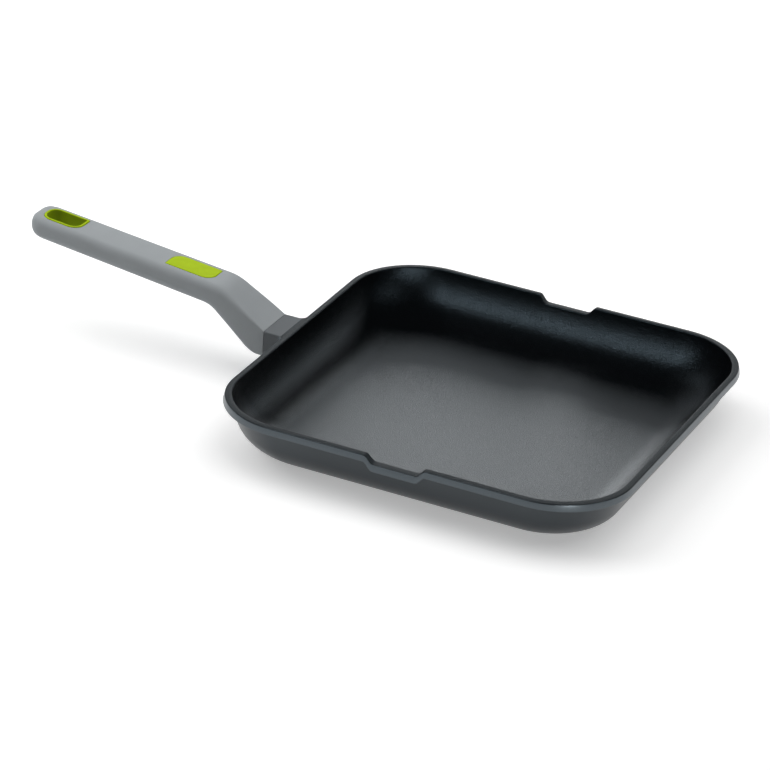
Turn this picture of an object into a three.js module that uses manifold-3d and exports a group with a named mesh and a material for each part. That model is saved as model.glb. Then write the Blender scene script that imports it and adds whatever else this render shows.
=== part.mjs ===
// A smooth square griddle pan, in millimetres, +Z up.
// The origin is the middle of the base's underside, and the handle points along -X.
// The pan is one casting with a rim band, two pouring notches and a boss. A perforated steel plate is
// pressed into its base. A bent handle with a lined hanging hole and an inlaid badge is held by one screw.

import * as THREE from 'three';
import { mergeVertices } from 'three/addons/utils/BufferGeometryUtils.js';
import Module from 'manifold-3d';

const wasm = await Module();
wasm.setup();

// Pan
const PAN_SIZE = 280; // across the rim band, both ways
const PAN_HEIGHT = 37; // base underside to rim top
const RIM_CORNER_RADIUS = 52; // rim band's corners, seen from above
const BASE_CORNER_RADIUS = 32.5; // flat base's corners, seen from above
const WALL_TAPER = THREE.MathUtils.degToRad(20.5); // outside, from upright
const WALL_THICKNESS = 3; // below the rim
const FLOOR_THICKNESS = 5;
const BASE_CURVE_RADIUS = 28; // outside, from wall to base
const INNER_TOP_LEAN = THREE.MathUtils.degToRad(11.2); // inside below the rim, from upright
const COVE_LEAN = THREE.MathUtils.degToRad(33); // inside where the bowed wall meets the cove, from upright
const COVE_RADIUS = 30; // inside, from the bowed wall to the cooking floor

// Rim band
const BAND_HEIGHT = 5.7;
const BAND_DEPTH = 3.6; // how far it stands out from the wall
const BAND_INSET = 0.7; // the face's top edge behind its bottom edge
const BAND_EDGE = 0.7; // eased edges of the face
const BAND_UNDERCUT = 0.4; // how far the underside rises outwards
const RIM_FALL = 0.4; // how far the rim's top falls outwards
const RIM_BEVEL = 1.3; // on the rim's inner edge

// Pouring notches, in the middle of the two sides that run along X
const NOTCH_FLOOR = 27; // its level bottom
const NOTCH_RAMP = 7.5; // the slope at each end
const NOTCH_EASE = 1.4; // above 1, the slope's foot is rounder than its top
const NOTCH_DEPTH = 5.4;

// Induction plate
const PLATE_SIZE = 190;
const PLATE_CORNER_RADIUS = 24;
const PLATE_THICKNESS = 1;
const PLATE_HOLE_RADIUS = 5;
const PLATE_HOLE_PITCH = 30;
const PLATE_HOLE_ROWS = 6;

// Joint between boss and handle, whose faces are alike
const BOSS_LENGTH = 14; // rim band to joint face
const BOSS_FILLET = 5; // where the boss meets the rim band
const JOINT_WIDTH = 32;
const JOINT_HEIGHT = 20.5;
const JOINT_DROP = 1.2; // joint's top below rim top
const JOINT_TOP_EDGE = 1;
const JOINT_BOTTOM_EDGE = 6.5;
const SPIGOT_LENGTH = 6; // stands out of the boss into the handle
const SPIGOT_WIDTH = 18;
const SPIGOT_HEIGHT = 10;

// Handle, measured outwards from the joint and upwards from the rim top
const HANDLE_REACH = 182.7; // joint to tip
const TOP_BEND_RUN = 34.4;
const TOP_BEND_RISE = 20.8;
const TOP_BEND_ROUND = 6; // half the length of the rounded bend
const TIP_TOP_RISE = 37;
const HEEL_RUN = 10;
const HEEL_ROUND = 5;
const LOWER_BEND_RUN = 42.7;
const LOWER_BEND_RISE = 4.6;
const LOWER_BEND_ROUND = 5;
const TIP_LOWER_RISE = 21.9;
const GRIP_WIDTH = 30;
const GRIP_TOP_EDGE = 5.5;
const GRIP_BOTTOM_EDGE = 8;
const TIP_RADIUS = 12; // seen from above
const TIP_EDGE = 6; // seen from the side

// Hanging hole and its liner
const LINER_FROM_TIP = 22.5; // tip to the hole's middle
const LINER_LENGTH = 29;
const LINER_WIDTH = 18;
const LINER_WALL = 1.8;
const LINER_LIP = 0.7; // stands above the grip
const LINER_SHORT = 0.5; // ends short of the grip's underside
const LINER_SHARP_RADIUS = 1.2;
const LINER_ROUND_RADIUS = 8.6;
const LINER_END_RADIUS = 7.6;

// Badge
const BADGE_FROM_JOINT = 61.6; // joint to the badge's middle
const BADGE_LENGTH = 35;
const BADGE_WIDTH = 17.2;
const BADGE_THICKNESS = 2;
const BADGE_RISE = 0.25; // stands above the grip
const BADGE_SHARP_RADIUS = 0.8;
const BADGE_ROUND_RADIUS = 8;

// Screw and washers, along X
const SCREW_DROP = 10.5; // screw's axis below rim top
const SCREW_RADIUS = 2.5;
const SCREW_ENGAGEMENT = 11; // how far it goes into the boss
const SCREW_HEAD_RADIUS = 4.6;
const SCREW_HEAD_HEIGHT = 3.6;
const DRIVE_LENGTH = 5; // cross recess in the head
const DRIVE_WIDTH = 1.1;
const DRIVE_DEPTH = 2;
const SEAT_WEB = 5.2; // handle material between spigot and washer
const SEAT_RADIUS = 5.6; // counterbore under the neck
const FLAT_WASHER_RADIUS = 5;
const FLAT_WASHER_THICKNESS = 1;
const SPRING_WASHER_RADIUS = 4.5;
const SPRING_WASHER_THICKNESS = 1.2;
const SPRING_WASHER_SLIT = 1;

// Least sizes
const LEAF_LEAST_RADIUS = 0.3; // a leaf outline's corners, when it is drawn inwards
const STATION_LEAST_GAP = 0.05; // between two sections of the handle
const EDGE_SHARE = 0.49; // largest edge radius, as a share of a section's smaller side
const MERGE_TOLERANCE = 1e-4;

// Clearances
const FIT_GAP = 0.3; // between pieces that seat on each other
const DRILL_RUNOUT = 1; // hole past the screw's end
const CUT_MARGIN = 2; // how far a cutter reaches past the surface that it opens

// Fineness
const CORNER_STEPS = 8;
const CURVE_STEPS = 5;
const EDGE_STEPS = 4;
const RAMP_STEPS = 6;
const ROUND_SIDES = 24;
const HOLE_SIDES = 12;

// Where things are
const half = PAN_SIZE / 2;
const bossFaceX = -(half + BOSS_LENGTH);
const handleFaceX = bossFaceX - FIT_GAP;
const screwZ = PAN_HEIGHT - SCREW_DROP;
const spigotEndX = bossFaceX - SPIGOT_LENGTH;
const socketEndX = spigotEndX - FIT_GAP;
const seatX = socketEndX - SEAT_WEB;
const flatWasherX = seatX - FIT_GAP;
const springWasherX = flatWasherX - FLAT_WASHER_THICKNESS - FIT_GAP;
const screwHeadX = springWasherX - SPRING_WASHER_THICKNESS - FIT_GAP;
const screwEndX = bossFaceX + SCREW_ENGAGEMENT;

// Solids: a closed mesh with merged vertices, cut and joined, and turned back into a geometry

function solidOf(geometry) {
  const bare = geometry.clone();
  bare.deleteAttribute('normal');
  bare.deleteAttribute('uv');
  const merged = mergeVertices(bare, MERGE_TOLERANCE);
  const index = merged.index.array;
  const kept = [];
  for (let i = 0; i < index.length; i += 3) {
    const [a, b, c] = index.slice(i, i + 3);
    if (a !== b && b !== c && c !== a) kept.push(a, b, c);
  }
  return new wasm.Manifold(new wasm.Mesh({
    numProp: 3,
    vertProperties: new Float32Array(merged.attributes.position.array),
    triVerts: new Uint32Array(kept),
  }));
}

function geometryOf(solid) {
  const mesh = solid.getMesh();
  const geometry = new THREE.BufferGeometry();
  geometry.setAttribute('position', new THREE.BufferAttribute(mesh.vertProperties, 3));
  geometry.setIndex(new THREE.BufferAttribute(mesh.triVerts, 1));
  geometry.computeVertexNormals();
  return geometry;
}

// A closed geometry through rings of points that all have the same count, with a fan over each end.
// Each ring turns anticlockwise, seen from the ring that follows it.
function skin(rings) {
  const count = rings[0].length;
  const middleOf = (ring) => {
    const middle = new THREE.Vector3();
    ring.forEach((point) => middle.addScaledVector(point, 1 / count));
    return middle;
  };
  const points = [...rings.flat(), middleOf(rings[0]), middleOf(rings.at(-1))];
  const lastRing = (rings.length - 1) * count;
  const firstMiddle = rings.length * count;
  const lastMiddle = firstMiddle + 1;
  const index = [];
  for (let i = 0; i < count; i += 1) {
    const next = (i + 1) % count;
    index.push(firstMiddle, next, i);
    for (let start = 0; start < lastRing; start += count) {
      const a = start + i;
      const b = start + next;
      index.push(a, b, b + count, a, b + count, a + count);
    }
    index.push(lastMiddle, lastRing + i, lastRing + next);
  }
  const geometry = new THREE.BufferGeometry().setFromPoints(points);
  geometry.setIndex(index);
  return geometry;
}

// A round bar along X from one end to the other, on the screw's axis
function barAlongX(radius, fromX, toX) {
  const bar = new THREE.CylinderGeometry(radius, radius, Math.abs(toX - fromX), ROUND_SIDES);
  bar.rotateZ(Math.PI / 2);
  bar.translate((fromX + toX) / 2, 0, screwZ);
  return bar;
}

// A block on the screw's axis
function blockAlongX(fromX, toX, width, height) {
  const block = new THREE.BoxGeometry(Math.abs(toX - fromX), width, height);
  block.translate((fromX + toX) / 2, 0, screwZ);
  return block;
}

function meshOf(name, geometry, color, roughness, metalness) {
  const mesh = new THREE.Mesh(geometry, new THREE.MeshStandardMaterial({ color, roughness, metalness }));
  mesh.name = name;
  return mesh;
}

// Pan: outside, a leaning wall and an arc to the base; inside, a bowed wall and a cove to the floor.
// A profile's points are a distance from the pan's middle and a height.

const wallRootX = half - BAND_DEPTH; // where the outer wall leaves the band
const wallRootZ = PAN_HEIGHT - BAND_HEIGHT;
const wallShift = WALL_THICKNESS / Math.cos(WALL_TAPER); // the wall's thickness, measured level

function outerWallX(z) {
  return wallRootX - (wallRootZ - z) * Math.tan(WALL_TAPER);
}

// Points on an arc below its middle, whose surface leans from upright by an angle
function leaningArc(middleX, middleZ, radius, fromLean, toLean) {
  const arc = [];
  for (let i = 0; i <= CURVE_STEPS; i += 1) {
    const lean = THREE.MathUtils.lerp(fromLean, toLean, i / CURVE_STEPS);
    arc.push([middleX + radius * Math.cos(lean), middleZ - radius * Math.sin(lean)]);
  }
  return arc;
}

const baseTouchZ = BASE_CURVE_RADIUS * (1 - Math.sin(WALL_TAPER));
const baseMiddleX = outerWallX(baseTouchZ) - BASE_CURVE_RADIUS * Math.cos(WALL_TAPER);
const baseArc = leaningArc(baseMiddleX, BASE_CURVE_RADIUS, BASE_CURVE_RADIUS, Math.PI / 2, WALL_TAPER);

const innerTopZ = PAN_HEIGHT - RIM_BEVEL;
const innerTopX = outerWallX(innerTopZ) - wallShift;
const coveMiddleZ = FLOOR_THICKNESS + COVE_RADIUS;
const bowDrop = innerTopZ - coveMiddleZ + COVE_RADIUS * Math.sin(COVE_LEAN);
const bowRadius = bowDrop / (Math.sin(COVE_LEAN) - Math.sin(INNER_TOP_LEAN));
const bowMiddleX = innerTopX - bowRadius * Math.cos(INNER_TOP_LEAN);
const bowMiddleZ = innerTopZ + bowRadius * Math.sin(INNER_TOP_LEAN);
const coveMiddleX = bowMiddleX + (bowRadius - COVE_RADIUS) * Math.cos(COVE_LEAN);
const bowArc = leaningArc(bowMiddleX, bowMiddleZ, bowRadius, INNER_TOP_LEAN, COVE_LEAN);
const coveArc = leaningArc(coveMiddleX, coveMiddleZ, COVE_RADIUS, COVE_LEAN, Math.PI / 2);

function bowedWallX(z) {
  return bowMiddleX + Math.sqrt(bowRadius ** 2 - (bowMiddleZ - z) ** 2);
}

const bandProfile = [
  [wallRootX, wallRootZ],
  [half - BAND_EDGE, wallRootZ + BAND_UNDERCUT],
  [half, wallRootZ + BAND_UNDERCUT + BAND_EDGE],
  [half - BAND_INSET, PAN_HEIGHT - RIM_FALL - BAND_EDGE],
  [half - BAND_INSET - BAND_EDGE, PAN_HEIGHT - RIM_FALL],
];
const bevelProfile = [
  [innerTopX + RIM_BEVEL, PAN_HEIGHT],
  [innerTopX, innerTopZ],
];

// The corners tighten evenly from the rim to the flat base
function cornerRadius(size) {
  const share = (half - size) / (half - baseArc[0][0]);
  return THREE.MathUtils.lerp(RIM_CORNER_RADIUS, BASE_CORNER_RADIUS, share);
}

function notchShare(x) {
  const along = (Math.abs(x) - NOTCH_FLOOR / 2) / NOTCH_RAMP;
  return (1 + Math.cos(Math.PI * THREE.MathUtils.clamp(along, 0, 1) ** NOTCH_EASE)) / 2;
}

const notchStations = [];
for (const side of [1, -1]) {
  for (let i = 0; i <= RAMP_STEPS; i += 1) {
    const share = side > 0 ? 1 - i / RAMP_STEPS : i / RAMP_STEPS;
    notchStations.push(side * (NOTCH_FLOOR / 2 + NOTCH_RAMP * share));
  }
}

// A level rounded square that dips at the notches by a share of their depth.
// Inside the pan, what dips also draws in, so that it stays on the bowed wall.
function squareRing(size, z, dipShare, isInside) {
  const radius = cornerRadius(size);
  const straight = size - radius;
  const ring = [];
  for (let side = 0; side < 4; side += 1) {
    const turn = new THREE.Matrix4().makeRotationZ(side * Math.PI / 2);
    for (let i = 0; i <= CORNER_STEPS; i += 1) {
      const angle = (Math.PI / 2) * (i / CORNER_STEPS);
      const x = straight + radius * Math.cos(angle);
      const y = straight + radius * Math.sin(angle);
      ring.push(new THREE.Vector3(x, y, z).applyMatrix4(turn));
    }
    if (side % 2 === 0) {
      for (const x of notchStations) {
        const dip = dipShare * NOTCH_DEPTH * notchShare(x);
        const wallZ = Math.min(z, innerTopZ);
        const drawIn = isInside && dip > 0 ? bowedWallX(wallZ) - bowedWallX(wallZ - dip) : 0;
        ring.push(new THREE.Vector3(x, size - drawIn, z - dip).applyMatrix4(turn));
      }
    }
  }
  return ring;
}

// The notches reach down the bowed wall and end where the cove begins
function panShell() {
  const [, coveTopZ] = coveArc[0];
  const bowDip = (z) => (z - coveTopZ) / (innerTopZ - coveTopZ);
  return skin([
    ...baseArc.map(([size, z]) => squareRing(size, z, 0, false)),
    ...bandProfile.map(([size, z]) => squareRing(size, z, 1, false)),
    ...bevelProfile.map(([size, z]) => squareRing(size, z, 1, true)),
    ...bowArc.slice(1).map(([size, z]) => squareRing(size, z, bowDip(z), true)),
    ...coveArc.slice(1).map(([size, z]) => squareRing(size, z, 0, true)),
  ]);
}

// An upright outline of the joint, with crisp top edges and round bottom edges.
// It turns anticlockwise, seen from -X.
function sectionRing(width, bottomZ, topZ, bottomEdge, topEdge, placeX) {
  const room = EDGE_SHARE * Math.min(width, topZ - bottomZ);
  const corners = [
    { y: 1, z: topZ, rise: -1, edge: Math.min(topEdge, room), from: 0 },
    { y: 1, z: bottomZ, rise: 1, edge: Math.min(bottomEdge, room), from: 1 },
    { y: -1, z: bottomZ, rise: 1, edge: Math.min(bottomEdge, room), from: 2 },
    { y: -1, z: topZ, rise: -1, edge: Math.min(topEdge, room), from: 3 },
  ];
  const ring = [];
  for (const { y, z, rise, edge, from } of corners) {
    for (let i = 0; i <= EDGE_STEPS; i += 1) {
      const angle = (Math.PI / 2) * (1 + from + i / EDGE_STEPS);
      const pointY = y * (width / 2 - edge) - edge * Math.cos(angle);
      const pointZ = z + rise * edge + edge * Math.sin(angle);
      ring.push(new THREE.Vector3(placeX(pointZ), pointY, pointZ));
    }
  }
  return ring;
}

// The boss widens in a fillet to meet the rim band, and its inner end stays inside the leaning wall
function bossGeometry() {
  const topZ = PAN_HEIGHT - JOINT_DROP;
  const lean = Math.tan(WALL_TAPER);
  const bandX = (z) => half - (PAN_HEIGHT - z) * lean;
  const rootDepth = BAND_DEPTH - BAND_HEIGHT * lean + wallShift / 2;
  const ringAt = (spread, placeX) => sectionRing(JOINT_WIDTH + 2 * spread, topZ - JOINT_HEIGHT, topZ,
    JOINT_BOTTOM_EDGE, JOINT_TOP_EDGE, placeX);
  const rings = [ringAt(BOSS_FILLET, (z) => -(bandX(z) - rootDepth))];
  for (let i = 0; i <= CURVE_STEPS; i += 1) {
    const angle = (Math.PI / 2) * (i / CURVE_STEPS);
    const away = BOSS_FILLET * (1 - Math.cos(angle));
    const spread = BOSS_FILLET * (1 - Math.sin(angle));
    rings.push(ringAt(spread, (z) => -(bandX(z) + away)));
  }
  rings.push(ringAt(0, () => bossFaceX));
  return skin(rings);
}

// A level rounded square plate, from one height to another
function squarePlate(size, radius, fromZ, toZ) {
  const straight = size / 2 - radius;
  const shape = new THREE.Shape();
  shape.absarc(straight, straight, radius, 0, Math.PI / 2);
  shape.absarc(-straight, straight, radius, Math.PI / 2, Math.PI);
  shape.absarc(-straight, -straight, radius, Math.PI, 1.5 * Math.PI);
  shape.absarc(straight, -straight, radius, 1.5 * Math.PI, 2 * Math.PI);
  const plate = new THREE.ExtrudeGeometry(shape, {
    depth: toZ - fromZ, bevelEnabled: false, curveSegments: CORNER_STEPS,
  });
  plate.translate(0, 0, fromZ);
  return plate;
}

// Upright round pegs on the plate's grid of holes, as one solid
function platePegs(radius, fromZ, toZ) {
  let pegs = null;
  const middle = (PLATE_HOLE_ROWS - 1) / 2;
  for (let row = 0; row < PLATE_HOLE_ROWS; row += 1) {
    for (let column = 0; column < PLATE_HOLE_ROWS; column += 1) {
      const peg = new THREE.CylinderGeometry(radius, radius, toZ - fromZ, HOLE_SIDES);
      peg.rotateX(Math.PI / 2);
      const x = (column - middle) * PLATE_HOLE_PITCH;
      const y = (row - middle) * PLATE_HOLE_PITCH;
      peg.translate(x, y, (fromZ + toZ) / 2);
      const solid = solidOf(peg);
      pegs = pegs ? pegs.add(solid) : solid;
    }
  }
  return pegs;
}

function panBody() {
  const recessZ = PLATE_THICKNESS + FIT_GAP;
  const recess = squarePlate(PLATE_SIZE + 2 * FIT_GAP, PLATE_CORNER_RADIUS + FIT_GAP, -CUT_MARGIN, recessZ);
  const spigot = blockAlongX(spigotEndX, bossFaceX + CUT_MARGIN, SPIGOT_WIDTH, SPIGOT_HEIGHT);
  const hole = barAlongX(SCREW_RADIUS + FIT_GAP, spigotEndX - CUT_MARGIN, screwEndX + DRILL_RUNOUT);
  const solid = solidOf(panShell())
    .add(solidOf(bossGeometry()))
    .add(solidOf(spigot))
    .subtract(solidOf(hole))
    .subtract(solidOf(recess))
    .add(platePegs(PLATE_HOLE_RADIUS - FIT_GAP, 0, recessZ + CUT_MARGIN));
  return meshOf('pan_body', geometryOf(solid), 0x3c4247, 0.45, 0.3);
}

function inductionPlate() {
  const plate = solidOf(squarePlate(PLATE_SIZE, PLATE_CORNER_RADIUS, 0, PLATE_THICKNESS))
    .subtract(platePegs(PLATE_HOLE_RADIUS, -CUT_MARGIN, PLATE_THICKNESS + CUT_MARGIN));
  return meshOf('induction_plate', geometryOf(plate), 0xb4b6b8, 0.35, 1);
}

// Handle: two height lines, above and below, with rounded bends

// How much a line has turned away at a distance past a corner, with the corner rounded over a length
function turned(past, round) {
  if (past <= -round) return 0;
  if (past >= round) return past;
  return (past + round) ** 2 / (4 * round);
}

const topNeckSlope = (TOP_BEND_RISE + JOINT_DROP) / TOP_BEND_RUN;
const topGripSlope = (TIP_TOP_RISE - TOP_BEND_RISE) / (HANDLE_REACH - TOP_BEND_RUN);
const jointBottomRise = -JOINT_DROP - JOINT_HEIGHT;
const lowerNeckSlope = (LOWER_BEND_RISE - jointBottomRise) / (LOWER_BEND_RUN - HEEL_RUN);
const lowerGripSlope = (TIP_LOWER_RISE - LOWER_BEND_RISE) / (HANDLE_REACH - LOWER_BEND_RUN);
const gripPitch = Math.atan(topGripSlope);

function handleTopZ(run) {
  const bend = (topGripSlope - topNeckSlope) * turned(run - TOP_BEND_RUN, TOP_BEND_ROUND);
  return PAN_HEIGHT - JOINT_DROP + topNeckSlope * run + bend;
}

function handleBottomZ(run) {
  const heel = lowerNeckSlope * turned(run - HEEL_RUN, HEEL_ROUND);
  const bend = (lowerGripSlope - lowerNeckSlope) * turned(run - LOWER_BEND_RUN, LOWER_BEND_ROUND);
  return PAN_HEIGHT + jointBottomRise + heel + bend;
}

function handleRing(run) {
  const share = THREE.MathUtils.smoothstep(run, 0, LOWER_BEND_RUN);
  const toTip = HANDLE_REACH - run;
  const roundOff = (radius) => {
    const inside = Math.max(0, 1 - toTip / radius);
    return radius * (1 - Math.sqrt(1 - inside ** 2));
  };
  const width = THREE.MathUtils.lerp(JOINT_WIDTH, GRIP_WIDTH, share) - 2 * roundOff(TIP_RADIUS);
  return sectionRing(width, handleBottomZ(run) + roundOff(TIP_EDGE), handleTopZ(run) - roundOff(TIP_EDGE),
    THREE.MathUtils.lerp(JOINT_BOTTOM_EDGE, GRIP_BOTTOM_EDGE, share),
    THREE.MathUtils.lerp(JOINT_TOP_EDGE, GRIP_TOP_EDGE, share),
    () => handleFaceX - run);
}

// Where the handle has a section: close together on the bends and the tip, few on the straight stretches
function handleStations() {
  const stations = [0];
  const bends = [[HEEL_RUN, HEEL_ROUND], [TOP_BEND_RUN, TOP_BEND_ROUND], [LOWER_BEND_RUN, LOWER_BEND_ROUND]];
  for (const [run, round] of bends) {
    for (let i = -2; i <= 2; i += 1) stations.push(run + round * (i / 2));
  }
  const tipStart = HANDLE_REACH - TIP_RADIUS;
  const gripStart = LOWER_BEND_RUN + LOWER_BEND_ROUND;
  for (let i = 1; i <= CURVE_STEPS; i += 1) {
    stations.push(THREE.MathUtils.lerp(gripStart, tipStart, i / CURVE_STEPS));
  }
  for (let i = 1; i <= CORNER_STEPS; i += 1) {
    stations.push(tipStart + TIP_RADIUS * Math.sin((Math.PI / 2) * (i / CORNER_STEPS)));
  }
  stations.sort((a, b) => a - b);
  return stations.filter((run, i) => i === 0 || run - stations[i - 1] > STATION_LEAST_GAP);
}

// Outlines on the grip: a rounded rectangle with its own radius at each corner.
// X is towards the pan and Y is to the left of the handle, seen from the tip.
function leafShape(length, width, radii, grow) {
  const l = length / 2 + grow;
  const w = width / 2 + grow;
  const [panLeft, tipLeft, tipRight, panRight] = radii.map((r) => Math.max(r + grow, LEAF_LEAST_RADIUS));
  const shape = new THREE.Shape();
  shape.absarc(l - panLeft, w - panLeft, panLeft, 0, Math.PI / 2);
  shape.absarc(-l + tipLeft, w - tipLeft, tipLeft, Math.PI / 2, Math.PI);
  shape.absarc(-l + tipRight, -w + tipRight, tipRight, Math.PI, 1.5 * Math.PI);
  shape.absarc(l - panRight, -w + panRight, panRight, 1.5 * Math.PI, 2 * Math.PI);
  return shape;
}

const linerRadii = [LINER_SHARP_RADIUS, LINER_END_RADIUS, LINER_END_RADIUS, LINER_ROUND_RADIUS];
const badgeRadii = [BADGE_SHARP_RADIUS, BADGE_ROUND_RADIUS, BADGE_SHARP_RADIUS, BADGE_ROUND_RADIUS];
const linerRun = HANDLE_REACH - LINER_FROM_TIP;
const linerDepth = (handleTopZ(linerRun) - handleBottomZ(linerRun)) * Math.cos(gripPitch);

// A leaf outline pushed through the grip, square to its top face
function leafBar(shape, run, fromDepth, toDepth) {
  const bar = new THREE.ExtrudeGeometry(shape, {
    depth: toDepth - fromDepth, bevelEnabled: false, curveSegments: CORNER_STEPS,
  });
  bar.translate(0, 0, fromDepth);
  bar.rotateY(gripPitch);
  bar.translate(handleFaceX - run, 0, handleTopZ(run));
  return bar;
}

function handleBody() {
  const rings = handleStations().map((run) => handleRing(run));
  const socket = blockAlongX(socketEndX, handleFaceX + CUT_MARGIN,
    SPIGOT_WIDTH + 2 * FIT_GAP, SPIGOT_HEIGHT + 2 * FIT_GAP);
  const hole = barAlongX(SCREW_RADIUS + FIT_GAP, seatX - CUT_MARGIN, handleFaceX + CUT_MARGIN);
  const counterbore = barAlongX(SEAT_RADIUS, handleFaceX - LOWER_BEND_RUN, seatX);
  const hangHole = leafBar(leafShape(LINER_LENGTH, LINER_WIDTH, linerRadii, FIT_GAP), linerRun,
    -linerDepth - TIP_EDGE, LINER_LIP + CUT_MARGIN);
  const pocket = leafBar(leafShape(BADGE_LENGTH, BADGE_WIDTH, badgeRadii, FIT_GAP), BADGE_FROM_JOINT,
    BADGE_RISE - BADGE_THICKNESS - FIT_GAP, BADGE_RISE + CUT_MARGIN);
  const solid = solidOf(skin(rings))
    .subtract(solidOf(socket))
    .subtract(solidOf(hole))
    .subtract(solidOf(counterbore))
    .subtract(solidOf(hangHole))
    .subtract(solidOf(pocket));
  return meshOf('handle_body', geometryOf(solid), 0x8d9395, 0.6, 0);
}

function hangLoopLiner() {
  const ring = leafShape(LINER_LENGTH, LINER_WIDTH, linerRadii, 0);
  ring.holes.push(leafShape(LINER_LENGTH, LINER_WIDTH, linerRadii, -LINER_WALL));
  const liner = leafBar(ring, linerRun, LINER_SHORT - linerDepth, LINER_LIP);
  return meshOf('hang_loop_liner', liner, 0xa8c81c, 0.4, 0);
}

function badgeInlay() {
  const shape = leafShape(BADGE_LENGTH, BADGE_WIDTH, badgeRadii, 0);
  const badge = leafBar(shape, BADGE_FROM_JOINT, BADGE_RISE - BADGE_THICKNESS, BADGE_RISE);
  return meshOf('badge_inlay', badge, 0xa8c81c, 0.4, 0);
}

// Screw and washers

function handleScrew() {
  const head = barAlongX(SCREW_HEAD_RADIUS, screwHeadX - SCREW_HEAD_HEIGHT, screwHeadX);
  const shank = barAlongX(SCREW_RADIUS, screwHeadX - SCREW_HEAD_HEIGHT / 2, screwEndX);
  const driveEndX = screwHeadX - SCREW_HEAD_HEIGHT + DRIVE_DEPTH;
  const driveStartX = screwHeadX - SCREW_HEAD_HEIGHT - CUT_MARGIN;
  const solid = solidOf(head)
    .add(solidOf(shank))
    .subtract(solidOf(blockAlongX(driveStartX, driveEndX, DRIVE_LENGTH, DRIVE_WIDTH)))
    .subtract(solidOf(blockAlongX(driveStartX, driveEndX, DRIVE_WIDTH, DRIVE_LENGTH)));
  return meshOf('handle_screw', geometryOf(solid), 0xc4c6c8, 0.3, 1);
}

function washerSolid(radius, fromX, thickness) {
  const disc = barAlongX(radius, fromX - thickness, fromX);
  const bore = barAlongX(SCREW_RADIUS + FIT_GAP, fromX - thickness - CUT_MARGIN, fromX + CUT_MARGIN);
  return solidOf(disc).subtract(solidOf(bore));
}

function flatWasher() {
  const solid = washerSolid(FLAT_WASHER_RADIUS, flatWasherX, FLAT_WASHER_THICKNESS);
  return meshOf('flat_washer', geometryOf(solid), 0xb9bbbd, 0.35, 1);
}

function springWasher() {
  const reach = SPRING_WASHER_RADIUS + CUT_MARGIN;
  const slit = blockAlongX(springWasherX - SPRING_WASHER_THICKNESS - CUT_MARGIN, springWasherX + CUT_MARGIN,
    SPRING_WASHER_SLIT, reach);
  slit.translate(0, 0, reach / 2);
  const ring = washerSolid(SPRING_WASHER_RADIUS, springWasherX, SPRING_WASHER_THICKNESS);
  const solid = ring.subtract(solidOf(slit));
  return meshOf('spring_washer', geometryOf(solid), 0x9fa2a5, 0.4, 1);
}

const griddlePan = new THREE.Group();
griddlePan.add(panBody(), inductionPlate());
griddlePan.add(handleBody(), hangLoopLiner(), badgeInlay());
griddlePan.add(handleScrew(), flatWasher(), springWasher());

export default griddlePan;
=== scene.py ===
"""The looks of a smooth square griddle pan: its coatings, its soft grey handle and a plain studio."""
import math

import bmesh
import bpy
from mathutils import Matrix, Vector


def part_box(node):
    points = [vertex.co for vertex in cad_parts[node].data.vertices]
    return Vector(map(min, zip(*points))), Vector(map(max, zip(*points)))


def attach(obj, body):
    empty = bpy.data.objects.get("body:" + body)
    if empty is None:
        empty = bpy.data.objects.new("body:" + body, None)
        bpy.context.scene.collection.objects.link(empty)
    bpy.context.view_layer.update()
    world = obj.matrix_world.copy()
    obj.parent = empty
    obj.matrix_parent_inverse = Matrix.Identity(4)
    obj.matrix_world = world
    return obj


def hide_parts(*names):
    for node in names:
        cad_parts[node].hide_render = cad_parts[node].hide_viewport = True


bl_info = {
    "name": "Griddle pan",
    "version": (1, 0, 0),
    "blender": (4, 5, 0),
    "location": "View3D > Sidebar > Griddle pan",
    "description": "Models a square griddle pan on its packed frame and sets it in a plain studio",
    "category": "Add Mesh",
}

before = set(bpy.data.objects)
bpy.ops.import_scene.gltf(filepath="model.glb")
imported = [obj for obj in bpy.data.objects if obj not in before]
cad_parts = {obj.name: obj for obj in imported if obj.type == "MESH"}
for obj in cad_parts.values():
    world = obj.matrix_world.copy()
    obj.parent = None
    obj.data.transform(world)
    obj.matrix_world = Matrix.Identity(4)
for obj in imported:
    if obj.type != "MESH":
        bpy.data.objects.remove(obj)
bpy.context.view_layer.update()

MM = 0.001
PAN_LOW, PAN_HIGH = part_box("pan_body")
HANDLE_LOW, HANDLE_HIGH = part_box("handle_body")
_, PLATE_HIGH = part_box("induction_plate")
SCREW_LOW, SCREW_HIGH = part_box("handle_screw")
FLAT_LOW, FLAT_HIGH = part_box("flat_washer")
SPRING_LOW, SPRING_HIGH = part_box("spring_washer")

SMOOTH_ANGLE = math.radians(32)
CORNER_SEGMENTS = 20
CURVE_STEPS = 14
EDGE_SEGMENTS = 8
ROUND_SIDES = 48
NOTCH_CUTS = 64
SIDE_CUTS = 2
GRIP_SECTIONS = 10
NECK_STEP = 2 * MM
CORNERS = ((1, 1), (-1, 1), (-1, -1), (1, -1))
LINER_RADII = (1.2 * MM, 7.6 * MM, 7.6 * MM, 8.6 * MM)
BADGE_RADII = (0.8 * MM, 8 * MM, 0.8 * MM, 8 * MM)
LEAF_LEAST_RADIUS = 0.3 * MM  # a leaf outline's corners, when it is drawn inwards
EDGE_ROOM = 2.05  # an edge's radius is at most a section's shorter side over this
REACH = HANDLE_HIGH.x - HANDLE_LOW.x  # from the handle's face to its tip
NOTCH_SLACK = 2 * MM  # how far outside the inner profile a face below a notch may lie
RIM_LEVEL = 0.6  # faces of the rim whose normal rises more than this get the thin coating
HALF_WAY = 0.5  # a face whose normal rises or falls less than this counts as upright
PAST = 2 * MM  # how far a cutter reaches past what it cuts
STEP = 0.01 * MM  # the bridge tool mixes up outlines that share a plane, so flat faces fall by this much
TINY = 1e-6  # places closer than this, in metres, are the same
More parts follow.
